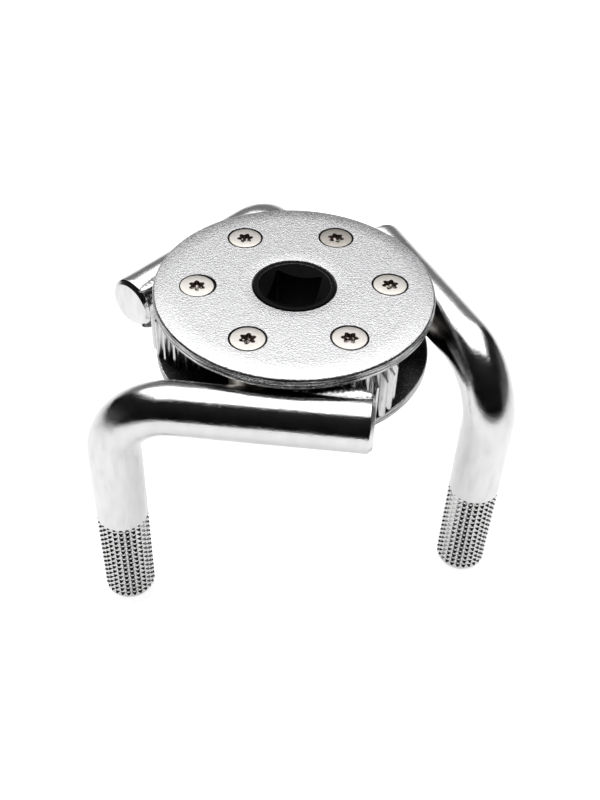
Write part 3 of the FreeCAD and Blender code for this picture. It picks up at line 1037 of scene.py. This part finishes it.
def make_bead(name, level, side, seed):
    """One rippled bead, wider than it is high, that leans towards the bar."""
    across = Vector((0, math.cos(WELD_LEAN), -side * math.sin(WELD_LEAN)))
    upward = Vector((0, side * math.sin(WELD_LEAN), math.cos(WELD_LEAN)))
    angles = [math.tau * index / BEAD_POINTS for index in range(BEAD_POINTS)]
    rings = []
    for step in range(BEAD_STATIONS + 1):
        share = -1 + 2 * step / BEAD_STATIONS
        along = WELD_MIDDLE + share * WELD_HALF_LENGTH
        fullness = math.sqrt(max(WELD_END_LEAST, 1 - abs(share) ** WELD_END_POWER))
        ripple = WELD_RIPPLE_SHARE * math.cos(math.tau * along / WELD_RIPPLE)
        centre = Vector((along, WELD_BESIDE, level + side * WELD_RISE))
        radii = []
        for angle in angles:
            oval = 1 / math.hypot(math.cos(angle) / WELD_HALF_WIDTH,
                                  math.sin(angle) / WELD_HALF_HEIGHT)
            point = centre + Vector((0, math.cos(angle), math.sin(angle))) * oval
            rough = sum(lump * noise.noise(point / size + seed) for lump, size in WELD_LUMPS)
            radii.append(oval * fullness * (WELD_FILL + ripple + rough))
        rings.append(cross_section(centre, across, upward, angles, radii))
    return skin(name, rings)


def make_weld(number, metal):
    """Two beads in the crooks between an arm's bar and its gear."""
    node = f"arm_{number}_weld"
    matrix, _ = arm_axes(number)
    low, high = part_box(node)
    beads = []
    for side in (1, -1):
        seed = Vector((number * 5.1, side * 2.2, 7.7))
        beads.append(make_bead(f"{node}_bead", bar_level(number), side, seed))
    work = bmesh.new()
    for bead in beads:
        work.from_mesh(bead.data)
        bpy.data.objects.remove(bead)
    mesh = bpy.data.meshes.new(f"{node}_rippled")
    work.to_mesh(mesh)
    work.free()
    mesh.transform(matrix)
    for vertex in mesh.vertices:
        vertex.co.z = min(high.z, max(low.z, vertex.co.z))
    piece = new_object(f"{node}_rippled", mesh)
    return finish_piece(piece, node, metal, BODY_OF_NODE[node], sharp_deg=60)


# ---------------------------------------------------------------- studio

CAMERA_PLACE = Vector((-15.5, -220.0, 246.0)) * MM
CAMERA_YAW_deg = 4.76
CAMERA_PITCH_deg = -42.86
CAMERA_ROLL_deg = 2.57
CAMERA_LENS_MM = 46.33
FLOOR_FRONT = -0.33
FLOOR_BACK = 1.6
FLOOR_HALF_WIDTH = 1.4
# The floor's glow is painted light: seen directly it is dimmer near the tool, a painted shade round
# it, and in the metal it is a painted pool of light round the tool
FLOOR_GLOW_NEAR = 0.78
FLOOR_GLOW_FAR = 1.0
FLOOR_GLOW_REFLECTED = 0.48

# Softbox: a rectangle above and behind the tool, on a plane that faces down to it from this
# elevation; its edges are tangents of angles from the plane's middle direction, and its back
# edge rises to the right
SOFTBOX_FACING = math.radians(51)
SOFTBOX_LEFT = -0.745
SOFTBOX_RIGHT = 0.66
SOFTBOX_BACK = -0.25
SOFTBOX_BACK_SLANT = 0.1
SOFTBOX_FRONT = 1.16
SOFTBOX_SIDE_BLUR = 0.05
SOFTBOX_END_BLUR = 0.08
SOFTBOX_RADIANCE = 1.75

# Brightness of the rest of the room, as the metal reflects it
ROOM_GLOW_LOW = 0.002
ROOM_GLOW_HIGH = 0.014
BACKDROP_GLOW = 0.19
BACKDROP_SPREAD = 1.22
LEFT_WALL_GLOW = 0.065
RIGHT_WALL_GLOW = 0.12


def make_camera():
    """Camera that sees the tool from above and in front, aimed without any shift."""
    data = bpy.data.cameras.new("camera")
    data.sensor_width = 36
    data.lens = CAMERA_LENS_MM
    camera = new_object("camera", data)
    yaw = math.radians(CAMERA_YAW_deg)
    pitch = math.radians(CAMERA_PITCH_deg)
    roll = math.radians(CAMERA_ROLL_deg)
    forward = Vector((math.sin(yaw) * math.cos(pitch), math.cos(yaw) * math.cos(pitch),
                      math.sin(pitch)))
    level_right = Vector((math.cos(yaw), -math.sin(yaw), 0))
    level_up = level_right.cross(forward)
    right = level_right * math.cos(roll) + level_up * math.sin(roll)
    up = level_up * math.cos(roll) - level_right * math.sin(roll)
    turn = Matrix((right, up, -forward)).transposed().to_4x4()
    camera.matrix_world = Matrix.Translation(CAMERA_PLACE) @ turn
    bpy.context.scene.camera = camera


def is_seen_directly(tree):
    """1 where the camera looks straight at something and 0 where it shows in the metal."""
    return tree.nodes.new("ShaderNodeLightPath").outputs["Is Camera Ray"]


def smooth_share(tree, value, start, end):
    """Share that goes smoothly from 0 at start to 1 at end, which may be the smaller."""
    return add_node(tree, "ShaderNodeMapRange", {
        "Value": value,
        "From Min": start,
        "From Max": end,
    }, interpolation_type="SMOOTHSTEP").outputs["Result"]


def product(tree, first, second):
    return math_value(tree, "MULTIPLY", first, second)


def total(tree, first, second):
    return math_value(tree, "ADD", first, second)


def make_floor():
    """White table that glows as painted light, dimmer near the tool where it is seen and a pool of
    light round the tool in the metal.  It ends in front of the tool, so that the dark room shows in
    the metal.
    """
    corners = [(-FLOOR_HALF_WIDTH, FLOOR_FRONT, 0), (FLOOR_HALF_WIDTH, FLOOR_FRONT, 0),
               (FLOOR_HALF_WIDTH, FLOOR_BACK, 0), (-FLOOR_HALF_WIDTH, FLOOR_BACK, 0)]
    mesh = bpy.data.meshes.new("floor")
    mesh.from_pydata(corners, [], [(0, 1, 2, 3)])
    floor = new_object("floor", mesh)
    material, tree, shader = new_material("floor_white", 0.0)
    distance = add_node(tree, "ShaderNodeVectorMath", {0: object_place(tree)},
                        operation="LENGTH").outputs["Value"]
    # painted light: the glow where the floor is seen, and the painted pool of light that the metal
    # shows
    seen = spread(tree, smooth_share(tree, distance, 0.12, 0.45),
                  FLOOR_GLOW_NEAR, FLOOR_GLOW_FAR, 0, 1)
    reflected = spread(tree, smooth_share(tree, distance, 0.10, 0.60),
                       FLOOR_GLOW_REFLECTED, FLOOR_GLOW_REFLECTED / 4, 0, 1)
    glow = add_node(tree, "ShaderNodeMix", {
        "Factor": is_seen_directly(tree),
        "A": reflected,
        "B": seen,
    }, data_type="FLOAT").outputs["Result"]
    set_inputs(tree, shader, {
        "Base Color": (0.92, 0.92, 0.92, 1),
        "Roughness": 0.9,
        "Specular IOR Level": 0.1,
        "Emission Color": (1, 1, 1, 1),
        "Emission Strength": glow,
    })
    mesh.materials.append(material)


def direction_along(tree, direction, axis):
    """How far a direction points along an axis."""
    return add_node(tree, "ShaderNodeVectorMath", {0: direction, 1: axis},
                    operation="DOT_PRODUCT").outputs["Value"]


def softbox_share(tree, direction):
    """1 for directions that meet the softbox and 0 for the others, with soft edges."""
    facing = (0, math.cos(SOFTBOX_FACING), math.sin(SOFTBOX_FACING))
    forward = (0, -math.sin(SOFTBOX_FACING), math.cos(SOFTBOX_FACING))
    toward = direction_along(tree, direction, facing)
    sideways = direction_along(tree, direction, (1, 0, 0))
    across = math_value(tree, "DIVIDE", sideways, toward)
    along = math_value(tree, "DIVIDE", direction_along(tree, direction, forward), toward)
    from_back = total(tree, along, product(tree, across, -SOFTBOX_BACK_SLANT))
    side = SOFTBOX_SIDE_BLUR
    end = SOFTBOX_END_BLUR
    share = smooth_share(tree, toward, 0.05, 0.1)
    for value, outside, inside in (
        (across, SOFTBOX_LEFT - side, SOFTBOX_LEFT + side),
        (across, SOFTBOX_RIGHT + side, SOFTBOX_RIGHT - side),
        (from_back, SOFTBOX_BACK - end, SOFTBOX_BACK + end),
        (along, SOFTBOX_FRONT + end, SOFTBOX_FRONT - end),
    ):
        share = product(tree, share, smooth_share(tree, value, outside, inside))
    return share


def room_glow(tree, direction):
    """Dark room, a grey backdrop behind the tool and dim walls to its sides."""
    parts = add_node(tree, "ShaderNodeSeparateXYZ", {"Vector": direction})
    sideways = math_value(tree, "ABSOLUTE", parts.outputs["X"])
    past_edge = product(tree, sideways, -BACKDROP_SPREAD)
    behind = smooth_share(tree, total(tree, parts.outputs["Y"], past_edge), -0.08, 0.10)
    below_lamp = smooth_share(tree, parts.outputs["Z"], 0.72, 0.56)
    backdrop = product(tree, product(tree, behind, below_lamp), BACKDROP_GLOW)
    left = product(tree, smooth_share(tree, parts.outputs["X"], -0.84, -0.96),
                   smooth_share(tree, parts.outputs["Z"], 0.42, 0.05))
    right = product(tree, smooth_share(tree, parts.outputs["X"], 0.72, 0.92),
                    smooth_share(tree, parts.outputs["Z"], 0.65, 0.05))
    sides = total(tree, product(tree, left, LEFT_WALL_GLOW),
                  product(tree, right, RIGHT_WALL_GLOW))
    room = spread(tree, parts.outputs["Z"], ROOM_GLOW_LOW, ROOM_GLOW_HIGH, 0.1, 0.95)
    return total(tree, total(tree, backdrop, sides), room)


def make_world():
    """Softbox in a dark room for the metal to show, and a white one to look at."""
    world = bpy.data.worlds.new("studio")
    bpy.context.scene.world = world
    world.use_nodes = True
    tree = world.node_tree
    tree.nodes.clear()
    direction = tree.nodes.new("ShaderNodeTexCoord").outputs["Generated"]
    softbox = product(tree, softbox_share(tree, direction), SOFTBOX_RADIANCE)
    strength = total(tree, softbox, room_glow(tree, direction))
    white = (1, 1, 1, 1)
    reflected = add_node(tree, "ShaderNodeBackground", {"Color": white, "Strength": strength})
    seen = add_node(tree, "ShaderNodeBackground", {"Color": white, "Strength": 1.0})
    mix = add_node(tree, "ShaderNodeMixShader", {
        0: is_seen_directly(tree),
        1: reflected.outputs["Background"],
        2: seen.outputs["Background"],
    })
    add_node(tree, "ShaderNodeOutputWorld", {"Surface": mix.outputs["Shader"]})


# ---------------------------------------------------------------- whole scene

def make_pieces():
    """Every piece of the tool, with its materials."""
    chrome = make_chrome()
    plate_steel = make_plate_steel()
    gear_steel = make_gear_steel()
    weld_metal = make_weld_metal()
    post_steel = make_post_steel()
    nickel = make_screw_nickel("screw_nickel", (0.70, 0.67, 0.62), (0.84, 0.80, 0.75))
    worn_nickel = make_screw_nickel("screw_worn", (0.38, 0.36, 0.33), (0.62, 0.58, 0.53))
    # the recess's wall has painted shade, and its bottom painted light in patches
    wall_shade_metal = make_screw_nickel("wall_painted_shade", (0.12, 0.09, 0.07), (0.40, 0.33, 0.28))
    bottom_painted_light = make_lit_bottom()
    # painted shade on the plates' inner faces and in their countersinks
    shade_inside = make_shaded_inside()
    make_drive_gear(make_black_oxide(), make_worn_oxide())
    make_plate("top", plate_steel, shade_inside)
    make_plate("bottom", plate_steel, shade_inside)
    for number in (1, 2, 3):
        make_bar(number, chrome)
        make_arm_gear(number, gear_steel)
        make_weld(number, weld_metal)
        make_post(f"spacer_{number}", post_steel)
        make_post(f"pivot_pin_{number}", post_steel)
    for number in range(1, SCREW_COUNT + 1):
        clocking = math.radians(SCREW_CLOCKING_deg[number - 1])
        face_metal = worn_nickel if number == WORN_SCREW else nickel
        make_screw(f"top_screw_{number}", True, clocking,
                   (face_metal, wall_shade_metal, bottom_painted_light), number == LOOSE_SCREW)
        make_screw(f"bottom_screw_{number}", False, clocking,
                   (nickel, wall_shade_metal, bottom_painted_light))


make_pieces()
make_floor()
make_world()
make_camera()
bpy.context.scene.view_settings.view_transform = "Standard"
